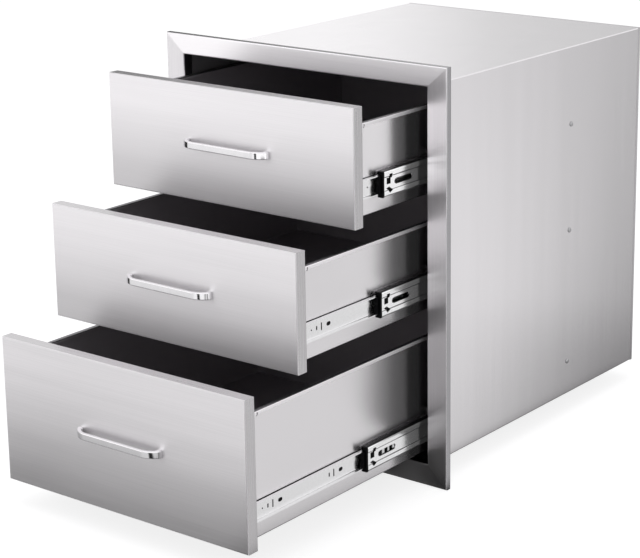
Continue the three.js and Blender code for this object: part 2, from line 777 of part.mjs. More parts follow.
place('trim_frame', trimFrame(), 'brushedSheet');
place('housing_wrap', housingWrap(), 'brushedSheet');
place('housing_back', housingBack(), 'brushedSheet');

for (const drawer of drawers) {
  place(`${drawer.name}_drawer_front`, drawerFront(drawer), 'brushedSheet');
  place(`${drawer.name}_drawer_tray`, drawerTray(drawer), 'trayWall');
  place(`${drawer.name}_drawer_handle`, pullHandle(drawer), 'chrome');
  for (const [word, side] of [['left', -1], ['right', 1]]) {
    place(`${drawer.name}_handle_screw_${word}`, handleScrew(drawer, side), 'screwSteel');
    const slide = `${drawer.name}_slide_${word}`;
    place(`${slide}_cabinet_member`, outerMember(drawer, side), 'zinc');
    place(`${slide}_middle_member`, middleMember(drawer, side), 'zinc');
    place(`${slide}_drawer_member`, innerMember(drawer, side), 'zinc');
    place(`${slide}_outer_balls`, outerBalls(drawer, side), 'screwSteel');
    place(`${slide}_inner_balls`, innerBalls(drawer, side), 'screwSteel');
    place(`${slide}_buffer`, slideBuffer(drawer, side), 'plastic');
    place(`${slide}_rivet`, sideRivet(drawer, side), 'screwSteel');
  }
}

export default unit;
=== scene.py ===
import math

import bmesh
import bpy
from mathutils import Matrix, Vector


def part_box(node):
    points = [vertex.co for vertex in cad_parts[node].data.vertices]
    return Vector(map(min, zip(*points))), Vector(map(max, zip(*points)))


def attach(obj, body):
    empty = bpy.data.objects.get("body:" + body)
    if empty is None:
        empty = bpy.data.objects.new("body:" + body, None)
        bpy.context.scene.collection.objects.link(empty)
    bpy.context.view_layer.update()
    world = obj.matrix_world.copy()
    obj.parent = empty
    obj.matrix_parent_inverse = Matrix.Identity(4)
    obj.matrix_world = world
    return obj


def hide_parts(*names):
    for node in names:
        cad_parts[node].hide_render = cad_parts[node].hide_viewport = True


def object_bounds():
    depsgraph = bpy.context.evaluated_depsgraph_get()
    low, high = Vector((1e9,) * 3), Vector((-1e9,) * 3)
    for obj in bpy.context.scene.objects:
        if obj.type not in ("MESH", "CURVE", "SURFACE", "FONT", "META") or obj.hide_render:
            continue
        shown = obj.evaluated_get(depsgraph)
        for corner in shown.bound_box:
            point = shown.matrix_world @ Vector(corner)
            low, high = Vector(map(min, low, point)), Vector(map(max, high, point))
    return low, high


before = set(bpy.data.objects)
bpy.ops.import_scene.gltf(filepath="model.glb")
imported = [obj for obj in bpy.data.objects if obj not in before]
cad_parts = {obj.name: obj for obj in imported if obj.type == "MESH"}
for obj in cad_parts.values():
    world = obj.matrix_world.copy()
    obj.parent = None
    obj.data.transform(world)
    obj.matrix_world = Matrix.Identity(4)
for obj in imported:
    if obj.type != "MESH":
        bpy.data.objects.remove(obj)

cad_low, cad_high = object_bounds()


# Trim frame. One folded section of 1 mm brushed stainless sheet runs round the opening,
# mitred and welded at the corners. It lies over the edge of the cabinet's cut-out.

trim_low, trim_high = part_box("trim_frame")
trim_sheet = 0.001
trim_bend = 0.002
trim_flange = 0.007
side_border, top_border, bottom_border = 0.0302, 0.027, 0.029


def bend_points(across, along, radius, start, end, steps=6):
    """A bend in the sheet, as points on an arc between two angles in degrees."""
    angles = [math.radians(start + (end - start) * step / steps) for step in range(steps + 1)]
    return [(across + radius * math.cos(angle), along + radius * math.sin(angle)) for angle in angles]


def folded_piece(name, rings, finishes, closed=False, inside_from=None):
    """A piece built from rings of points. The rings from inside_from on take the second finish."""
    count = len(rings[0])
    faces, groups = [], []
    last = len(rings) if closed else len(rings) - 1
    for row in range(last):
        here, there = row * count, (row + 1) % len(rings) * count
        for k in range(count):
            after = (k + 1) % count
            faces.append((here + k, here + after, there + after, there + k))
            groups.append(1 if inside_from is not None and row >= inside_from else 0)
    if not closed:
        faces.append(tuple(reversed(range(count))))
        faces.append(tuple(range((len(rings) - 1) * count, len(rings) * count)))
        groups += [0, 0 if inside_from is None else 1]
    mesh = bpy.data.meshes.new(name)
    mesh.from_pydata([point for ring in rings for point in ring], [], faces)
    for face, group in zip(mesh.polygons, groups):
        face.material_index = group
    for finish in finishes:
        mesh.materials.append(finish)
    piece = bpy.data.objects.new(name, mesh)
    bpy.context.collection.objects.link(piece)
    face_outwards(mesh)
    soften(piece)
    return piece


def face_outwards(mesh):
    """Turns every face of a closed mesh to the outside."""
    shell = bmesh.new()
    shell.from_mesh(mesh)
    bmesh.ops.recalc_face_normals(shell, faces=shell.faces)
    shell.to_mesh(mesh)
    shell.free()


def soften(piece):
    """Smooth bends between flat faces: corners sharper than the limit stay crisp."""
    sharpest_bend, flat_face_weight = 40, 90
    piece.data.shade_smooth()
    piece.data.set_sharp_from_angle(angle=math.radians(sharpest_bend))
    flat = piece.modifiers.new("flat faces", "WEIGHTED_NORMAL")
    flat.keep_sharp = True
    flat.weight = flat_face_weight


def new_finish(name, metallic):
    """An even finish to build on: the finish, its node tree and its shader."""
    finish = bpy.data.materials.new(name)
    finish.use_nodes = True
    tree = finish.node_tree
    shader = tree.nodes["Principled BSDF"]
    shader.inputs["Metallic"].default_value = metallic
    return finish, tree, shader


def noise(tree, stretch, detail):
    """A noise over the piece's own metres, scaled by one number or by three."""
    place = tree.nodes.new("ShaderNodeTexCoord")
    texture = tree.nodes.new("ShaderNodeTexNoise")
    texture.inputs["Detail"].default_value = detail
    where = place.outputs["Object"]
    if isinstance(stretch, tuple):
        scaled = tree.nodes.new("ShaderNodeMapping")
        scaled.inputs["Scale"].default_value = stretch
        tree.links.new(where, scaled.inputs["Vector"])
        where, stretch = scaled.outputs["Vector"], 1.0
    texture.inputs["Scale"].default_value = stretch
    tree.links.new(where, texture.inputs["Vector"])
    return texture.outputs["Fac"]


def ranged(tree, source, low, high, start=0.3, end=0.7):
    """Maps start..end to low..high. Most of a noise lies in the usual start..end."""
    mapped = tree.nodes.new("ShaderNodeMapRange")
    mapped.inputs["From Min"].default_value, mapped.inputs["From Max"].default_value = start, end
    mapped.inputs["To Min"].default_value, mapped.inputs["To Max"].default_value = low, high
    tree.links.new(source, mapped.inputs["Value"])
    return mapped.outputs["Result"]


def tinted(tree, tone, strength):
    """A colour times a strength. The colour is three numbers or a node's output."""
    scaled = tree.nodes.new("ShaderNodeVectorMath")
    scaled.operation = "SCALE"
    if isinstance(tone, tuple):
        scaled.inputs[0].default_value = tone
    else:
        tree.links.new(tone, scaled.inputs[0])
    tree.links.new(strength, scaled.inputs["Scale"])
    return scaled.outputs["Vector"]


def brushed_steel(
    name, tone, roughness, grain, anisotropy=0.8, tone_change=0.02, bands=0.015, relief=0.06, metallic=1.0
):
    """Stainless sheet rubbed with a fine belt: hairlines and softer streaks along the grain."""
    hair_along, hair_across = 6.0, 1700.0
    band_along, band_across = 1.2, 34.0
    band_share = 0.45
    hairline_depth = 0.0002
    widest_spread = 0.045
    smallest_lean = (0.02, 0.03, 0.05)
    finish, tree, shader = new_finish(name, metallic)
    nodes, links = tree.nodes, tree.links
    shader.inputs["Anisotropic"].default_value = anisotropy
    hair = noise(tree, tuple(hair_along if axis == grain else hair_across for axis in "xyz"), detail=4.0)
    band = noise(tree, tuple(band_along if axis == grain else band_across for axis in "xyz"), detail=3.0)
    mixed = nodes.new("ShaderNodeMix")
    mixed.inputs["Factor"].default_value = band_share
    links.new(hair, mixed.inputs["A"])
    links.new(band, mixed.inputs["B"])
    change = tone_change + bands
    strength = ranged(tree, mixed.outputs["Result"], 1 - change, 1 + change)
    links.new(tinted(tree, tone, strength), shader.inputs["Base Color"])
    spread = min(widest_spread, relief)
    links.new(ranged(tree, hair, roughness - spread, roughness + spread), shader.inputs["Roughness"])
    bump = nodes.new("ShaderNodeBump")
    bump.inputs["Strength"].default_value = relief
    bump.inputs["Distance"].default_value = hairline_depth
    links.new(hair, bump.inputs["Height"])
    links.new(bump.outputs["Normal"], shader.inputs["Normal"])
    # The highlight spreads across the grain: its direction lies in the sheet, square to the grain.
    surface = nodes.new("ShaderNodeNewGeometry")
    across = nodes.new("ShaderNodeVectorMath")
    across.operation = "CROSS_PRODUCT"
    across.inputs[1].default_value = tuple(1.0 if axis == grain else 0.0 for axis in "xyz")
    links.new(surface.outputs["True Normal"], across.inputs[0])
    # A small lean keeps it from vanishing where the face looks along the grain.
    lean = nodes.new("ShaderNodeVectorMath")
    lean.operation = "ADD"
    lean.inputs[1].default_value = smallest_lean
    links.new(across.outputs["Vector"], lean.inputs[0])
    links.new(lean.outputs["Vector"], shader.inputs["Tangent"])
    return finish


def paint_shade_down(finish, darkest):
    """Paints shade into a finish: it grows darker towards the lower edge of its piece, where the steel
    mirrors the darker things below.
    """
    full_tone_height = 0.85
    tree = finish.node_tree
    shader = tree.nodes["Principled BSDF"]
    plain = shader.inputs["Base Color"].links[0].from_socket
    place = tree.nodes.new("ShaderNodeTexCoord")
    parts = tree.nodes.new("ShaderNodeSeparateXYZ")
    tree.links.new(place.outputs["Generated"], parts.inputs["Vector"])
    strength = ranged(tree, parts.outputs["Z"], darkest, 1.0, 0.0, full_tone_height)
    strength.node.interpolation_type = "SMOOTHSTEP"
    tree.links.new(tinted(tree, plain, strength), shader.inputs["Base Color"])


rail_steel = brushed_steel(
    "trim rail brushed steel", (0.98, 0.956, 0.978), roughness=0.34, grain="x", anisotropy=0.55
)
stile_steel = brushed_steel(
    "trim stile brushed steel", (0.96, 0.936, 0.958), roughness=0.36, grain="z",
    anisotropy=0.85, tone_change=0.06, bands=0.04,
)
# Painted shade: the trim's stiles and rails grow darker towards the bottom.
paint_shade_down(stile_steel, darkest=0.55)
paint_shade_down(rail_steel, darkest=0.42)
# Painted shade: the trim's outer edge and its hem and return take darker copies of the steel.
edge_painted_shade = brushed_steel("trim edge painted shade", (0.42, 0.415, 0.43), roughness=0.24, grain="z")
hem_painted_shade = brushed_steel("trim hem painted shade", (0.10, 0.098, 0.102), roughness=0.3, grain="z")
# Painted highlight: the lip on the stiles takes a pale, half-matt copy of the steel.
lip_painted_highlight = brushed_steel(
    "trim lip painted highlight", (0.96, 0.936, 0.958), roughness=0.45, grain="z",
    anisotropy=0.2, metallic=0.4,
)
outer = dict(left=trim_low.x, right=trim_high.x, bottom=trim_low.z, top=trim_high.z)
opening = dict(
    left=trim_low.x + side_border,
    right=trim_high.x - side_border,
    bottom=trim_low.z + bottom_border,
    top=trim_high.z - top_border,
)
tight = trim_bend - trim_sheet
face_y = trim_low.y
section = [(outer, trim_flange, 0.0)]
section += [(outer, *p) for p in bend_points(trim_bend, -trim_bend, trim_bend, 90, 180)]
section += [(outer, *p) for p in bend_points(trim_bend, face_y + trim_bend, trim_bend, 180, 270)]
section += [(opening, *p) for p in bend_points(-trim_bend, face_y + trim_bend, trim_bend, -90, 0)]
section += [(opening, 0.0, trim_high.y), (opening, -trim_sheet, trim_high.y)]
section += [(opening, *p) for p in bend_points(-trim_bend, face_y + trim_bend, tight, 0, -90)]
section += [(outer, *p) for p in bend_points(trim_bend, face_y + trim_bend, tight, 270, 180)]
section += [(outer, *p) for p in bend_points(trim_bend, -trim_bend, tight, 180, 90)]
section += [(outer, trim_flange, -trim_sheet)]
inward = dict(left=1, right=-1, bottom=1, top=-1)
trim_rings = []
for across, up in (("right", "bottom"), ("right", "top"), ("left", "top"), ("left", "bottom")):
    corner = [(side[across], side[up], inset, y) for side, inset, y in section]
    trim_rings.append([(x + inward[across] * inset, y, z + inward[up] * inset) for x, z, inset, y in corner])
trim_finishes = [stile_steel, rail_steel, edge_painted_shade, hem_painted_shade, lip_painted_highlight]
trim = folded_piece("trim", trim_rings, trim_finishes, closed=True)
# Rows of the section: the hem and the return take a dark painted shade, the outer edge a lighter painted
# shade, and the lip on the stiles a painted highlight.
hem_rows, edge_rows, lip_rows = (*range(1, 7), 20, 21), range(7, 11), range(11, 13)
stile, rail, edge, hem, lip = range(len(trim_finishes))
for face in trim.data.polygons:
    length, row = divmod(face.index, len(section))
    face.material_index = stile if length % 2 == 0 else rail
    if row in hem_rows:
        face.material_index = hem
    if row in edge_rows:
        face.material_index = edge
    if row in lip_rows and length % 2 == 0:
        face.material_index = lip
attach(trim, "cabinet")
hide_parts("trim_frame")


# Housing. One brushed stainless sheet is wrapped into a sleeve with a bend along each long
# edge, and closed by a pressed back whose flange is butt welded to the sleeve's rear edge.

wrap_low, wrap_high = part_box("housing_wrap")
back_low, back_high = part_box("housing_back")
wall_sheet = 0.001
housing_bend = 0.0017
back_bend = 0.0015


def rounded_outline(low, high, bottom, top, radius, steps=6):
    """A rectangle across the unit with rounded corners, as points of width and height."""
    points = bend_points(high - radius, bottom + radius, radius, -90, 0, steps)
    points += bend_points(high - radius, top - radius, radius, 0, 90, steps)
    points += bend_points(low + radius, top - radius, radius, 90, 180, steps)
    return points + bend_points(low + radius, bottom + radius, radius, 180, 270, steps)


def pan_rings(low, high, bottom, top, profile):
    """Rectangles one behind another for a folded pan, each drawn in by an inset."""
    return [
        [
            (low + inset, y, bottom + inset),
            (high - inset, y, bottom + inset),
            (high - inset, y, top - inset),
            (low + inset, y, top - inset),
        ]
        for inset, y in profile
    ]


side_steel = brushed_steel(
    "housing brushed steel", (0.87, 0.848, 0.868), roughness=0.20, grain="z",
    tone_change=0.014, bands=0.014, relief=0.02,
)
# Painted shade: the sleeve's inside faces take a dark copy of the steel.
inside_painted_shade = brushed_steel("housing inside painted shade", (0.30, 0.295, 0.305), roughness=0.42, grain="z")
outside = rounded_outline(wrap_low.x, wrap_high.x, wrap_low.z, wrap_high.z, housing_bend)
inside = rounded_outline(
    wrap_low.x + wall_sheet,
    wrap_high.x - wall_sheet,
    wrap_low.z + wall_sheet,
    wrap_high.z - wall_sheet,
    housing_bend - wall_sheet,
)
sleeve_rings = [
    [(x, wrap_low.y, z) for x, z in outside],
    [(x, wrap_high.y, z) for x, z in outside],
    [(x, wrap_high.y, z) for x, z in inside],
    [(x, wrap_low.y, z) for x, z in inside],
]
sleeve = folded_piece("sleeve", sleeve_rings, [side_steel, inside_painted_shade], closed=True, inside_from=2)
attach(sleeve, "cabinet")
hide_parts("housing_wrap")

back_profile = bend_points(back_bend, back_high.y - back_bend, back_bend - wall_sheet, 90, 180)
back_profile += [(wall_sheet, back_low.y), (0.0, back_low.y)]
back_profile += bend_points(back_bend, back_high.y - back_bend, back_bend, 180, 90)
back_rings = pan_rings(back_low.x, back_high.x, back_low.z, back_high.z, back_profile)
back_steel = brushed_steel("back brushed steel", (0.66, 0.643, 0.659), roughness=0.36, grain="z")
rear_pan = folded_piece("rear_pan", back_rings, [back_steel])
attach(rear_pan, "cabinet")
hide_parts("housing_back")


# Side rivets. Plain domed steel rivets go through the housing wall into the fixed rail of
# each slide, and their small round heads are all that shows outside.


def turned_piece(name, profile, centre, direction, finish, steps=28):
    """A turned piece: radius and height pairs set along +X or -X from a centre."""
    rings = []
    for radius, height in profile:
        ring = []
        for step in range(steps):
            angle = 2 * math.pi * step / steps
            ring.append(
                (
                    centre[0] + direction * height,
                    centre[1] + radius * math.cos(angle),
                    centre[2] + radius * math.sin(angle),
                )
            )
        rings.append(ring)
    return folded_piece(name, rings, [finish])


def plain_steel(name, tone, roughness):
    """Bare or plated steel with a faint mottle and tiny scratches."""
    mottle_scale = 420.0
    darkest, palest = 0.96, 1.04
    smoother, rougher = 0.02, 0.03
    finish, tree, shader = new_finish(name, 1.0)
    mottle = noise(tree, mottle_scale, detail=5.0)
    strength = ranged(tree, mottle, darkest, palest)
    tree.links.new(tinted(tree, tone, strength), shader.inputs["Base Color"])
    polish = ranged(tree, mottle, roughness - smoother, roughness + rougher)
    tree.links.new(polish, shader.inputs["Roughness"])
    return finish


rivet_steel = plain_steel("rivet steel", (0.45, 0.45, 0.46), roughness=0.3)
levels = ("upper", "centre", "lower")
sides = (("left", -1), ("right", 1))
closed_radius = 0.0001
tail_share, tail_thick = 0.9, 0.0006
shank, head_gap = 0.0019, 0.0003
dome_steps = 8
for level in levels:
    for side, direction in sides:
        node = f"{level}_slide_{side}_rivet"
        low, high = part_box(node)
        wall = (wrap_high.x - wall_sheet) * direction
        tip = high.x if direction > 0 else low.x
        middle = (wall, (low.y + high.y) / 2, (low.z + high.z) / 2)
        head = (high.y - low.y) / 2
        tail = -abs((high.x if direction < 0 else low.x) - wall)
        seat = wall_sheet + head_gap
        dome = abs(tip - wall) - seat
        clench = head * tail_share
        profile = [(closed_radius, tail), (clench, tail), (clench, tail + tail_thick)]
        profile += [(shank, tail + tail_thick), (shank, seat), (head, seat)]
        for step in range(1, dome_steps + 1):
            turn = math.pi / 2 * step / dome_steps
            profile.append((max(head * math.cos(turn), closed_radius), seat + dome * math.sin(turn)))
        rivet = turned_piece(f"{level}_{side}_rivet", profile, middle, direction, rivet_steel)
        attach(rivet, "cabinet")
        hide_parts(node)


# Drawer fronts. Each is a pan of 1 mm brushed stainless sheet, folded back on all four
# sides with a wide flange behind, and mitred at its corners. The grain runs sideways.

front_steel = brushed_steel(
    "front brushed steel", (0.86, 0.839, 0.858), roughness=0.38, grain="x",
    anisotropy=0.7, tone_change=0.035, bands=0.025,
)
# Painted shade: each front grows darker towards its lower edge.
paint_shade_down(front_steel, darkest=0.72)
# Painted shade: the side and top folds take darker copies of the front's steel.
fold_painted_shade = brushed_steel(
    "front fold painted shade", (0.6, 0.585, 0.599), roughness=0.26, grain="z",
    tone_change=0.05, bands=0.02,
)
top_fold_painted_shade = brushed_steel(
    "front top fold painted shade", (0.6, 0.585, 0.599), roughness=0.3, grain="x", anisotropy=0.7
)
# Painted highlight: the bends round the face take a pale, half-matt copy of the steel.
bend_painted_highlight = brushed_steel(
    "front bend painted highlight", (0.96, 0.936, 0.958), roughness=0.5, grain="x",
    anisotropy=0.2, metallic=0.4,
)
front_sheet = 0.001
front_bend = 0.0016
front_flange = 0.026
flat_share = 0.95
front_finishes = [front_steel, fold_painted_shade, top_fold_painted_shade, bend_painted_highlight]
fold, top_fold, bend = 1, 2, 3
for level in levels:
    low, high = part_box(f"{level}_drawer_front")
    tight = front_bend - front_sheet
    profile = bend_points(front_bend, low.y + front_bend, front_bend, 270, 180)
    profile += bend_points(front_bend, high.y - front_bend, front_bend, 180, 90)
    profile += [(front_flange, high.y), (front_flange, high.y - front_sheet)]
    profile += bend_points(front_bend, high.y - front_bend, tight, 90, 180)
    profile += bend_points(front_bend, low.y + front_bend, tight, 180, 270)
    rings = pan_rings(low.x, high.x, low.z, high.z, profile)
    panel = folded_piece(f"{level}_front", rings, front_finishes)
    for face in panel.data.polygons:
        if abs(face.normal.x) > flat_share:
            face.material_index = fold
        elif face.normal.z > flat_share:
            face.material_index = top_fold
        elif face.normal.y > -flat_share and face.center.y < low.y + front_bend:
            face.material_index = bend
    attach(panel, f"{level}_drawer")
    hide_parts(f"{level}_drawer_front")


# Trays. Folded boxes of 1 mm stainless sheet. The walls end in a rim that turns in and then
# down, with a bead outside below it. The inside faces and the rim's top carry painted shade.

tray_steel = brushed_steel(
    "tray brushed steel", (0.82, 0.799, 0.818), roughness=0.26, grain="y",
    tone_change=0.003, bands=0.003, relief=0.003,
)
# Painted shade: the inside faces take a dark copy of the tray's steel.
tray_inside_painted_shade = brushed_steel(
    "tray inside painted shade", (0.36, 0.338, 0.36), roughness=0.45, grain="y", metallic=0.15
)
# Painted highlight: the bead takes a paler, rougher copy of the steel.
bead_painted_highlight = brushed_steel(
    "tray bead painted highlight", (0.93, 0.907, 0.928), roughness=0.55, grain="y", anisotropy=0.3
)
# Painted shade: the rim's top takes a dark copy of the steel.
rim_painted_shade = brushed_steel(
    "tray rim painted shade", (0.20, 0.196, 0.205), roughness=0.40, grain="y", anisotropy=0.5
)
tray_sheet = 0.001
tray_bend = 0.0018
rim_bend = 0.0012
rim_bead = 0.0008
rim_inner = 0.0057
rim_turn_down = 0.004
bead_height = 0.0045
notch_back, notch_width, notch_top, notch_height = 0.0134, 0.0016, 0.0016, 0.0046
notch_inside, notch_outside = 0.003, 0.002
tray_finishes = [tray_steel, tray_inside_painted_shade, bead_painted_highlight, rim_painted_shade]
bead, top_of_rim = 2, 3
# Rows of the section that make the bead. The rim's top follows them.
bead_rows = range(8, 13)


def cut_away(piece, boxes):
    """Cuts small boxes out of a sheet piece and keeps its finishes."""
    corners, faces = [], []
    for (x0, y0, z0), (x1, y1, z1) in boxes:
        first = len(corners)
        corners += [(x, y, z) for x in (x0, x1) for y in (y0, y1) for z in (z0, z1)]
        for face in ((0, 1, 3, 2), (4, 6, 7, 5), (0, 4, 5, 1), (2, 3, 7, 6), (0, 2, 6, 4), (1, 5, 7, 3)):
            faces.append(tuple(first + corner for corner in face))
    mesh = bpy.data.meshes.new("punch")
    mesh.from_pydata(corners, [], faces)
    punch = bpy.data.objects.new("punch", mesh)
    bpy.context.collection.objects.link(punch)
    face_outwards(mesh)
    cut = piece.modifiers.new("punched", "BOOLEAN")
    cut.operation = "DIFFERENCE"
    cut.object = punch
    bpy.context.view_layer.update()
    ready = bpy.data.meshes.new_from_object(piece.evaluated_get(bpy.context.evaluated_depsgraph_get()))
    piece.modifiers.clear()
    piece.data = ready
    bpy.data.objects.remove(punch)
    soften(piece)


for level in levels:
    low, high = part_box(f"{level}_drawer_tray")
    half = high.x - rim_bead
    rear = high.y - rim_bead
    floor, rim = low.z, high.z
    profile = bend_points(tray_bend, floor + tray_bend, tray_bend, 270, 180)
    profile += [(0.0, rim - bead_height), (-rim_bead, rim - bead_height)]
    profile += bend_points(rim_bend - rim_bead, rim - rim_bend, rim_bend, 180, 90)
    profile += bend_points(rim_inner - rim_bend, rim - rim_bend, rim_bend, 90, 0)
    dark_from = len(profile) - 1
    profile += [(rim_inner, rim - rim_turn_down), (rim_inner - tray_sheet, rim - rim_turn_down)]
    profile += [(rim_inner - tray_sheet, rim - tray_sheet), (tray_sheet, rim - tray_sheet)]
    profile += bend_points(tray_bend, floor + tray_bend, tray_bend - tray_sheet, 180, 270)
    rings = [
        [
            (-half + inset, low.y + max(inset, 0), z),
            (half - inset, low.y + max(inset, 0), z),
            (half - inset, rear - inset, z),
            (-half + inset, rear - inset, z),
        ]
        for inset, z in profile
    ]
    tray = folded_piece(f"{level}_tray", rings, tray_finishes, inside_from=dark_from)
    for face in tray.data.polygons:
        row = face.index // len(rings[0])
        if row in bead_rows:
            face.material_index = bead
        if bead_rows.stop <= row < dark_from:
            face.material_index = top_of_rim
    notch_y = low.y + notch_back
    notch_z = rim - notch_top
    cut_away(
        tray,
        [
            (
                (side * (half - notch_inside), notch_y, notch_z - notch_height),
                (side * (half + notch_outside), notch_y + notch_width, notch_z),
            )
            for side in (-1, 1)
        ],
    )
    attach(tray, f"{level}_drawer")
    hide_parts(f"{level}_drawer_tray")


# Handles. Flat bar bent into a shallow bow, polished and chrome plated. The legs slope back
# to feet, a little taller and thicker, which take the screws from inside the drawer front.


def blended(tree, share, first, second):
    """A colour between two: each is four numbers or a node's output."""
    share_socket, first_socket, second_socket, result_socket = 0, 6, 7, 2
    mix = tree.nodes.new("ShaderNodeMix")
    mix.data_type = "RGBA"
    tree.links.new(share, mix.inputs[share_socket])
    for socket, colour in ((first_socket, first), (second_socket, second)):
        if isinstance(colour, tuple):
            mix.inputs[socket].default_value = colour
        else:
            tree.links.new(colour, mix.inputs[socket])
    return mix.outputs[result_socket]


def polished_chrome(name):
    """Bright chrome plate with the faint haze of handling."""
    haze_scale = 90.0
    clean, handled = (0.86, 0.85, 0.865, 1), (0.76, 0.75, 0.77, 1)
    finish, tree, shader = new_finish(name, 1.0)
    haze = noise(tree, haze_scale, detail=3.0)
    tree.links.new(blended(tree, haze, clean, handled), shader.inputs["Base Color"])
    tree.links.new(ranged(tree, haze, low=0.06, high=0.14, start=0.0, end=1.0), shader.inputs["Roughness"])
    return finish


chrome = polished_chrome("handle chrome")
bar_thick, foot_thick = 0.0044, 0.007
bar_tall, foot_tall = 0.0088, 0.0096
bar_edge = 0.0012
bow_radius, foot_radius = 0.022, 0.004
foot_rise = 0.0022
leg_share = 0.3
leg_slope = 45
slope = math.radians(leg_slope)
bow_steps, foot_steps, edge_steps = 18, 10, 4


def bow_stations(centre, radius, start, end, shares, steps):
    """Places along one bend of the bar: position, direction across it, share of the foot's section."""
    places = []
    for step in range(steps + 1):
        angle = math.radians(start + (end - start) * step / steps)
        share = shares[0] + (shares[1] - shares[0]) * step / steps
        across, forward = math.cos(angle), math.sin(angle)
        places.append((centre[0] + radius * across, centre[1] + radius * forward, across, forward, share))
    return places


for level in levels:
    low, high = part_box(f"{level}_drawer_handle")
    half = high.x - foot_thick / 2
    height = (low.z + high.z) / 2
    foot_turn = (half - foot_radius, high.y - foot_rise)
    bow_y = low.y + bar_thick / 2 + bow_radius
    lift = math.sin(slope) * (bow_y - foot_turn[1])
    bow_turn = (foot_turn[0] + (lift + foot_radius - bow_radius) / math.cos(slope), bow_y)
    stations = bow_stations(bow_turn, bow_radius, -90, -leg_slope, (0, leg_share), bow_steps)
    stations += bow_stations(foot_turn, foot_radius, -leg_slope, 0, (leg_share, 1), foot_steps)
    # The foot ends square on the drawer front.
    stations.append((half, high.y, 1.0, 0.0, 1.0))
    mirrored = [(-x, y, -across, forward, share) for x, y, across, forward, share in reversed(stations)]
    rings = []
    for x, y, across, forward, share in mirrored + stations:
        tall = bar_tall + (foot_tall - bar_tall) * share
        thick = bar_thick + (foot_thick - bar_thick) * share
        outline = rounded_outline(-thick / 2, thick / 2, -tall / 2, tall / 2, bar_edge, edge_steps)
        rings.append([(x + across * w, y + forward * w, height + h) for w, h in outline])
    handle = folded_piece(f"{level}_handle", rings, [chrome])
    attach(handle, f"{level}_drawer")
    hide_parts(f"{level}_drawer_handle")


# Handle screws. Pan-head screws of stainless steel, driven from inside each front into the
# handle's feet. Nothing of them shows outside, so the CAD pieces stay and get their finish here.

screw_steel = plain_steel("screw steel", (0.55, 0.55, 0.56), roughness=0.32)


def dress(node, finish):
    """Gives a carried-over CAD piece its finish."""
    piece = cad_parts[node]
    piece.data.materials.clear()
    piece.data.materials.append(finish)
    return piece


for level in levels:
    for side in ("left", "right"):
        dress(f"{level}_handle_screw_{side}", screw_steel)


# Slides. Three nested channels of bright zinc-plated steel for each side of each drawer,
# rolled and punched, with strips of steel balls between them that roll at half speed. The
# CAD pieces stay and get their plating here.


def zinc_with_painted_shade(name, tone, painted_shade_tone, roughness):
    """Bright zinc plate with painted shade on the faces that lean up or down, the flanges and the web's
    steps, where thin shadow lines fall.
    """
    least_lean, full_lean = 0.4, 0.52
    finish = plain_steel(name, tone, roughness)
    tree = finish.node_tree
    nodes, links = tree.nodes, tree.links
    colour = nodes["Principled BSDF"].inputs["Base Color"]
    plated = colour.links[0].from_socket
    surface = nodes.new("ShaderNodeNewGeometry")
    parts = nodes.new("ShaderNodeSeparateXYZ")
    links.new(surface.outputs["True Normal"], parts.inputs["Vector"])
    upright = nodes.new("ShaderNodeMath")
    upright.operation = "ABSOLUTE"
    links.new(parts.outputs["Z"], upright.inputs[0])
    painted_shade_share = ranged(tree, upright.outputs["Value"], 0.0, 1.0, least_lean, full_lean)
    links.new(blended(tree, painted_shade_share, plated, (*painted_shade_tone, 1)), colour)
    return finish


zinc = plain_steel("slide zinc", (0.88, 0.875, 0.885), roughness=0.2)
# Painted shade: the cabinet and middle members take the zinc with thin painted shadow lines on their flanges
# and steps.
painted_shade_zinc = zinc_with_painted_shade(
    "slide zinc with painted shade", (0.96, 0.955, 0.965), painted_shade_tone=(0.03, 0.028, 0.03), roughness=0.16
)
ball_steel = plain_steel("ball strip steel", (0.70, 0.70, 0.71), roughness=0.24)
for level in levels:
    for side in ("left", "right"):
        slide = f"{level}_slide_{side}"
        for member in ("cabinet", "middle", "drawer"):
            dress(f"{slide}_{member}_member", zinc if member == "drawer" else painted_shade_zinc)
        for strip in ("outer", "inner"):
            dress(f"{slide}_{strip}_balls", ball_steel)


# Shade strips. A thin black sheet lies between each drawer member and its tray as painted shade.
# It shows through the punched slits and holes, and as fine shadow lines along the edges.

strip_gap, strip_thick = 0.00008, 0.00012
strip_lap, strip_short, strip_corner = 0.0004, 0.001, 0.002
# Painted shade: the strip's near-black stands in for the shadow behind the slits and along the edges.
dark_strip = plain_steel("dark painted shade strip", (0.012, 0.012, 0.013), roughness=0.5)
for level in levels:
    for side, direction in sides:
        low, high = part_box(f"{level}_slide_{side}_drawer_member")
        web = low.x if direction > 0 else high.x
        ends = (low.y + strip_short, high.y - strip_short)
        outline = rounded_outline(*ends, low.z - strip_lap, high.z + strip_lap, strip_corner)
        depths = (strip_gap, strip_gap + strip_thick)
        rings = [[(web - direction * depth, y, z) for y, z in outline] for depth in depths]
        strip = folded_piece(f"{level}_{side}_painted_shade_strip", rings, [dark_strip])
        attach(strip, f"{level}_drawer")


# Stake marks. A small stake sits in the drawer member's web near its front end, and its flattened
# end shows as a dark disc on the web, in the same finish as the shade strip.

stake_radius, stake_back = 0.0009, 0.0178
stake_foot, stake_rim, stake_crown = 0.00005, 0.0002, 0.0003
stake_steps = 16
web_sheet = 0.0012
for level in levels:
    for side, direction in sides:
        low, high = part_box(f"{level}_slide_{side}_drawer_member")
        web = (low.x if direction > 0 else high.x) + direction * web_sheet
        middle = (web, low.y + stake_back, (low.z + high.z) / 2)
        profile = [(closed_radius, stake_foot), (stake_radius, stake_foot)]
        profile += [(stake_radius, stake_rim), (closed_radius, stake_crown)]
        stake = turned_piece(f"{level}_{side}_stake", profile, middle, direction, dark_strip, stake_steps)
        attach(stake, f"{level}_drawer")


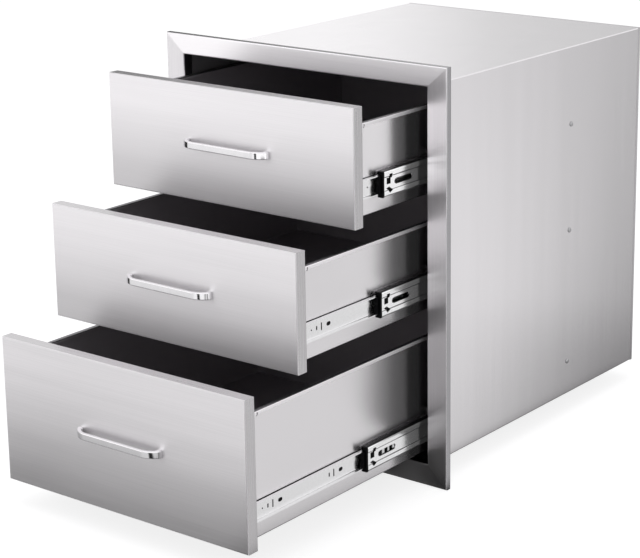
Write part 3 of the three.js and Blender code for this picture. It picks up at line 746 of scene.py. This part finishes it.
# Buffers. Black moulded plastic noses clipped into the front ends of the middle members,
# which catch the drawer and keep the channels from striking each other.


def moulded_plastic(name, tone):
    """Black moulded plastic with a fine spark-eroded skin."""
    skin_scale, skin_depth, skin_strength = 1400.0, 0.0001, 0.25
    paler = 1.8
    finish, tree, shader = new_finish(name, 0.0)
    nodes, links = tree.nodes, tree.links
    shader.inputs["Roughness"].default_value = 0.5
    shader.inputs["Specular IOR Level"].default_value = 0.05
    skin = noise(tree, skin_scale, detail=2.0)
    pale_tone = tuple(channel * paler for channel in tone)
    links.new(blended(tree, skin, (*tone, 1), (*pale_tone, 1)), shader.inputs["Base Color"])
    bump = nodes.new("ShaderNodeBump")
    bump.inputs["Strength"].default_value = skin_strength
    bump.inputs["Distance"].default_value = skin_depth
    links.new(skin, bump.inputs["Height"])
    links.new(bump.outputs["Normal"], shader.inputs["Normal"])
    return finish


black_plastic = moulded_plastic("black plastic", (0.002, 0.002, 0.0024))
tab_back, tab_rise = (0.0102, 0.0161), (0.0062, 0.0111)
tab_inset = (0.0033, 0.0036)
moulded_edge = 0.0004
for level in levels:
    for side, direction in sides:
        piece = dress(f"{level}_slide_{side}_buffer", black_plastic)
        edges = piece.modifiers.new("moulded edges", "BEVEL")
        edges.width = moulded_edge
        edges.segments = 2
        edges.limit_method = "ANGLE"
        # The clip's tabs fill the ends of the punched slots.
        wall_low, wall_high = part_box(f"{level}_slide_{side}_cabinet_member")
        wall = wall_high.x if direction > 0 else wall_low.x
        low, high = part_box(f"{level}_slide_{side}_middle_member")
        height = (low.z + high.z) / 2
        ends = (low.y + tab_back[0], low.y + tab_back[1])
        for part, lift in (("upper", 1), ("lower", -1)):
            rise = sorted(height + lift * reach for reach in tab_rise)
            outline = rounded_outline(*ends, *rise, moulded_edge)
            rings = [[(wall - direction * inset, y, z) for y, z in outline] for inset in tab_inset]
            tab = folded_piece(f"{level}_{side}_buffer_{part}_tab", rings, [black_plastic])
            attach(tab, f"{level}_middle_members")


# Studio. A pale painted floor under the trim's lower edge keeps the unit's shadow, and white
# surrounds it. Soft lamps stand above and in front of the unit. Glowing cards, which only
# reflections see, paint the light and shade that the steel and the chrome mirror.

floor_mesh = bpy.data.meshes.new("floor")
floor_half = 30.0
floor_gap = 0.0006
ground = cad_low.z - floor_gap
corners = ((-1, -1), (1, -1), (1, 1), (-1, 1))
floor_mesh.from_pydata([(floor_half * x, floor_half * y, ground) for x, y in corners], [], [(0, 1, 2, 3)])
floor_sheet = bpy.data.objects.new("floor", floor_mesh)
bpy.context.collection.objects.link(floor_sheet)


def seen_directly(tree):
    """1 for what the camera sees straight, in a mirror or through glass, and 0 for light on the object."""
    rays = tree.nodes.new("ShaderNodeLightPath")
    seen = rays.outputs["Is Camera Ray"]
    for kind in ("Is Glossy Ray", "Is Transmission Ray"):
        either = tree.nodes.new("ShaderNodeMath")
        either.operation = "MAXIMUM"
        tree.links.new(seen, either.inputs[0])
        tree.links.new(rays.outputs[kind], either.inputs[1])
        seen = either.outputs["Value"]
    return seen


# Seen directly the floor glows as well, so that it is nearly white. It lights the unit as pale
# paint only.
floor_paint, floor_glow = (0.52, 0.52, 0.53, 1), 0.80
pale = bpy.data.materials.new("pale floor")
pale.use_nodes = True
nodes, links = pale.node_tree.nodes, pale.node_tree.links
nodes.clear()
paint = nodes.new("ShaderNodeBsdfDiffuse")
paint.inputs["Color"].default_value = floor_paint
glow = nodes.new("ShaderNodeEmission")
strength = ranged(pale.node_tree, seen_directly(pale.node_tree), 0.0, floor_glow, 0.0, 1.0)
links.new(strength, glow.inputs["Strength"])
both = nodes.new("ShaderNodeAddShader")
links.new(paint.outputs["BSDF"], both.inputs[0])
links.new(glow.outputs["Emission"], both.inputs[1])
out = nodes.new("ShaderNodeOutputMaterial")
links.new(both.outputs["Shader"], out.inputs["Surface"])
floor_mesh.materials.append(pale)

# The surroundings are white where they are seen, and light the unit less strongly.
light_level = 0.45
world = bpy.data.worlds.new("white studio")
bpy.context.scene.world = world
world.use_nodes = True
sky = world.node_tree.nodes["Background"]
strength = ranged(world.node_tree, seen_directly(world.node_tree), light_level, 1.0, 0.0, 1.0)
world.node_tree.links.new(strength, sky.inputs["Strength"])
sky.inputs["Color"].default_value = (1, 1, 1, 1)


def soft_lamp(name, place, target, width, height, power):
    """A softbox that faces a point."""
    lamp = bpy.data.lights.new(name, "AREA")
    lamp.shape = "RECTANGLE"
    lamp.size, lamp.size_y = width, height
    lamp.energy = power
    stand = bpy.data.objects.new(name, lamp)
    bpy.context.collection.objects.link(stand)
    stand.location = place
    stand.rotation_euler = (Vector(target) - Vector(place)).to_track_quat("-Z", "Y").to_euler()


aim = (0, 0, 0.2)
soft_lamp("overhead softbox", (-0.3, -0.2, 2.6), aim, width=2.4, height=2.4, power=12)
soft_lamp("front softbox", (-2.2, -2.2, 1.2), aim, width=1.6, height=1.6, power=4)


def shade_card(name, rows, one_sided=False):
    """A glowing card that only reflections see, a painted reflection: rows of (point, tone) that share one
    grading.
    """
    across = len(rows[0])
    corners = [corner for row in rows for corner in row]
    faces = []
    for row in range(len(rows) - 1):
        for step in range(across - 1):
            corner = row * across + step
            faces.append((corner, corner + 1, corner + across + 1, corner + across))
    mesh = bpy.data.meshes.new(name)
    mesh.from_pydata([point for point, tone in corners], [], faces)
    tones = mesh.color_attributes.new("tone", "FLOAT_COLOR", "POINT")
    for spot, (point, tone) in zip(tones.data, corners):
        spot.color = (tone, tone, tone, 1)
    card = bpy.data.objects.new(name, mesh)
    bpy.context.collection.objects.link(card)
    reflection_paint = bpy.data.materials.new(name)
    reflection_paint.use_nodes = True
    nodes, links = reflection_paint.node_tree.nodes, reflection_paint.node_tree.links
    nodes.clear()
    grading = nodes.new("ShaderNodeAttribute")
    grading.attribute_name = "tone"
    light = nodes.new("ShaderNodeEmission")
    links.new(grading.outputs["Color"], light.inputs["Color"])
    shown = light.outputs["Emission"]
    if one_sided:
        surface = nodes.new("ShaderNodeNewGeometry")
        clear = nodes.new("ShaderNodeBsdfTransparent")
        faced = nodes.new("ShaderNodeMixShader")
        links.new(surface.outputs["Backfacing"], faced.inputs[0])
        links.new(shown, faced.inputs[1])
        links.new(clear.outputs["BSDF"], faced.inputs[2])
        shown = faced.outputs["Shader"]
    end = nodes.new("ShaderNodeOutputMaterial")
    links.new(shown, end.inputs["Surface"])
    mesh.materials.append(reflection_paint)
    card.visible_camera = False
    card.visible_shadow = False
    card.visible_diffuse = False


# Tones of the floor, as the steel should mirror them. Round the unit they go by compass
# angle, clockwise from straight behind.
floor_tones = [(0, 0.95), (20, 1.0), (170, 1.0), (173, 0.03), (182, 0.03), (185, 0.95), (217, 1.0)]
floor_tones += [(244, 0.95), (250, 0.02), (312, 0.02), (320, 0.8), (360, 0.95)]
# Beside the housing, beside the drawers and in front they go by the distance from the unit.
beside_tones = [(0, 0.66), (0.1, 0.70), (0.25, 0.83), (0.4, 0.96), (0.7, 1.0)]
drawer_side_tones = [(0, 0.76), (0.5, 0.78), (1.0, 0.72), (1.6, 0.66)]
before_tones = [(0, 0.10), (0.05, 0.24), (0.25, 0.56), (0.7, 0.88), (1.6, 1.0)]
# Behind on the right they go by where the mirrored view crosses the housing's side.
back_right_tones = [(0.0, 1.0), (0.06, 0.98), (0.26, 0.68), (0.40, 0.5), (0.5, 0.4), (0.8, 0.36)]
camera_place = Vector((1.5754, -1.9357, 0.9616))
floor_centre = (0.15, -0.05)


def graded(value, table):
    """Reads a table of pairs, with a straight line between them."""
    for (start, first), (end, second) in zip(table, table[1:]):
        if value <= end:
            return first + (second - first) * (value - start) / (end - start)
    return table[-1][1]


def share_of(value, start, length):
    """0 before the start, 1 after the length, and straight between them."""
    return min(1, max(0, (value - start) / length))


def floor_tone(x, y):
    """Tone of the floor at a place, as the steel should mirror it: a painted reflection."""
    drawers_to, slides_from, slides_length, far_at = -0.5, -0.19, 0.1, 1.2
    beside_fronts = 0.75
    outside_x = max(cad_low.x - x, x - cad_high.x, 0)
    outside_y = max(cad_low.y - y, y - cad_high.y, 0)
    reach = math.hypot(outside_x, outside_y)
    turn = math.degrees(math.atan2(x - floor_centre[0], y - floor_centre[1])) % 360
    tone = graded(turn, floor_tones)
    if x > cad_high.x:
        # Where the camera's view of this place, mirrored in the housing's side, meets the side.
        away = 2 * wrap_high.x - camera_place.x
        share = (wrap_high.x - away) / (x - away)
        crossing = camera_place.y + (y - camera_place.y) * share
        if crossing > 0:
            return tone * graded(reach, beside_tones) * graded(crossing, back_right_tones)
        if crossing > drawers_to:
            plain = graded(reach, drawer_side_tones)
            far = share_of(reach, 0, far_at) ** 2 * share_of(crossing, slides_from, slides_length)
            return tone * (plain + far * (1 - plain))
        if y > cad_low.y:
            return beside_fronts
    # A grey lane lies under the mirrored view of the right stile.
    lane_start, lane_ahead = (0.21, -0.01), (0.6, -0.8)
    lane_length, lane_half, lane_depth = 1.8, 0.24, 0.8
    east, north = x - lane_start[0], y - lane_start[1]
    along = east * lane_ahead[0] + north * lane_ahead[1]
    aside = east * lane_ahead[1] - north * lane_ahead[0]
    if 0 < along < lane_length:
        tone *= 1 - lane_depth * max(0, 1 - (aside / lane_half) ** 2)
    # In front it grows a little paler to the right of a place on the left.
    paler, paler_from, paler_over = 0.25, -0.45, 0.3
    if y < cad_low.y:
        tone *= 1 + paler * share_of(x, paler_from, paler_over)
    return tone * graded(reach, before_tones)


shade_steps, shade_half, shade_crowding, shade_gap = 161, 6, 1.2, 0.0004
spread = [2 * step / (shade_steps - 1) - 1 for step in range(shade_steps)]
spread = [shade_half * share * abs(share) ** shade_crowding for share in spread]
rows = [[((x, y, ground + shade_gap), floor_tone(x, y)) for x in spread] for y in spread]
shade_card("floor_shade", rows)

# A grey flag stands in an arc behind the unit, with its tone by compass angle.
flag_tones = ((322, 1.0), (326, 0.9), (331, 0.7), (345, 0.55), (360, 0.5), (366, 0.5))
flag_distance, flag_height = 3, 2.2
rows = []
for z in (ground, ground + flag_height):
    row = []
    for angle, tone in flag_tones:
        turn = math.radians(angle)
        row.append(((flag_distance * math.sin(turn), flag_distance * math.cos(turn), z), tone))
    rows.append(row)
shade_card("back_flag", rows)

# Two small cards are printed on one face. The first stands over the right stile, black at its
# lip and then grey, and shades what the drawers' sides mirror. The second stands along the top
# of the trim for the top folds.
card_gap, lip_gap = 0.0008, 0.0004
black_width, grey_start = 0.009, 0.0092
near_face = trim_low.y - card_gap
lip_x = opening["right"] - lip_gap
black_to, grey_from = lip_x + black_width, lip_x + grey_start
turned = [((lip_x, trim_high.y), 0.02), ((lip_x, near_face), 0.02), ((black_to, near_face), 0.02)]
turned += [((grey_from, near_face), 0.09), ((trim_high.x, near_face), 0.11)]
# How far the card reaches past the trim at each height: narrow where the slides see it.
narrow = 0.001
card_reach = [(trim_low.z, narrow), (0.034, narrow), (0.038, 0.060), (0.160, 0.052), (0.186, 0.03)]
card_reach += [(0.190, narrow), (0.224, narrow), (0.228, 0.030), (0.335, 0.022), (0.340, narrow)]
card_reach += [(trim_high.z, narrow)]
rows = []
for z, reach in card_reach:
    middle, end = trim_high.x + reach * 0.5, trim_high.x + reach
    outward = turned + [((middle, near_face), 0.3), ((end, near_face), 0.7)]
    rows.append([((x, y, z), tone) for (x, y), tone in outward])
shade_card("stile_card", rows, one_sided=True)
top_tones = ((-0.42, 0.12), (-0.3, 0.12), (0.0, 0.5), (trim_high.x, 0.75))
top_card_y, top_card_gap, top_card_height = 0.0012, 0.0004, 0.14
rows = []
for z in (trim_high.z + top_card_gap, trim_high.z + top_card_height):
    rows.append([((x, top_card_y, z), tone) for x, tone in top_tones])
shade_card("trim_top_card", rows, one_sided=True)


# Camera. It stands in front of the unit on its right, above the open drawers, and looks
# down at them with a small shift of the lens.

camera_data = bpy.data.cameras.new("camera")
camera = bpy.data.objects.new("camera", camera_data)
bpy.context.collection.objects.link(camera)
bpy.context.scene.camera = camera
sensor_width, frame_width, focal_pixels = 36, 640, 1984.7
camera_data.sensor_width = sensor_width
camera_data.lens = focal_pixels * sensor_width / frame_width
camera_data.shift_x = -0.1
camera_data.shift_y = -0.1
camera_data.clip_end = 100
heading, tilt, roll = 0.643, -0.2599, -0.0071
ahead = Vector((-math.sin(heading) * math.cos(tilt), math.cos(heading) * math.cos(tilt), math.sin(tilt)))
right = ahead.cross(Vector((0, 0, 1))).normalized()
up = right.cross(ahead)
right, up = right * math.cos(roll) + up * math.sin(roll), up * math.cos(roll) - right * math.sin(roll)
camera.matrix_world = Matrix(
    (
        (right.x, up.x, -ahead.x, camera_place.x),
        (right.y, up.y, -ahead.y, camera_place.y),
        (right.z, up.z, -ahead.z, camera_place.z),
        (0, 0, 0, 1),
    )
)

bpy.context.scene.view_settings.view_transform = "Standard"
